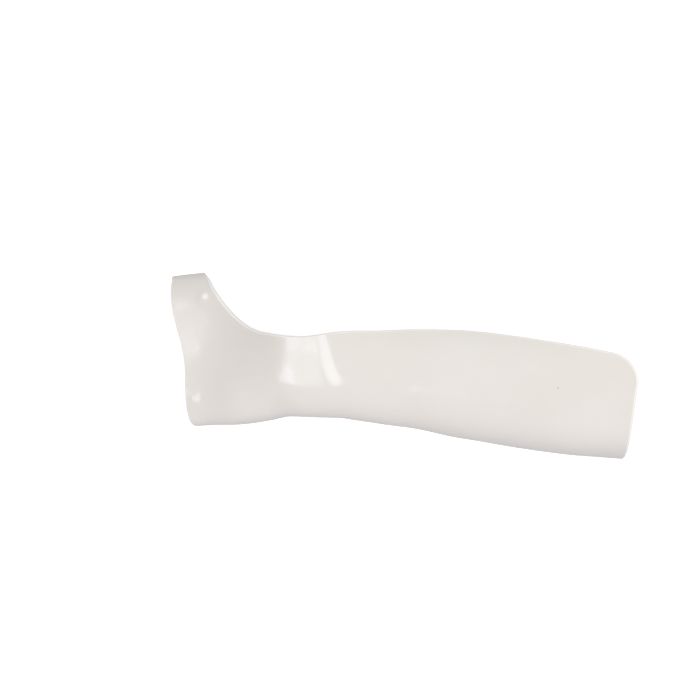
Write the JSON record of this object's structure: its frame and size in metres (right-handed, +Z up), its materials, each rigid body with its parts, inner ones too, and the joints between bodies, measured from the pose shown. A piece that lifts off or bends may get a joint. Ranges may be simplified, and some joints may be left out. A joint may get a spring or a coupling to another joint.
{
  "type": "wrist cock-up splint",
  "caption": "Moulded right-hand sheet splint: open forearm trough, cocked-up palm piece and a bar through the thumb web onto the back of the hand.",
  "frame": {"origin": "middle of the bounding box's bottom, on the surface the splint lies on", "axes": "+X from the wrist towards the elbow, +Y towards the thumb, +Z up, out of the palm side, as the splint lies by itself with its open side down"},
  "size_m": [0.2768, 0.1158, 0.0879],
  "materials": {
    "thermoplastic": "warm white low-temperature splinting sheet with a smooth, glossy coating"
  },
  "bodies": {
    "root": {"splint_shell": "thermoplastic"}
  },
  "joints": []
}
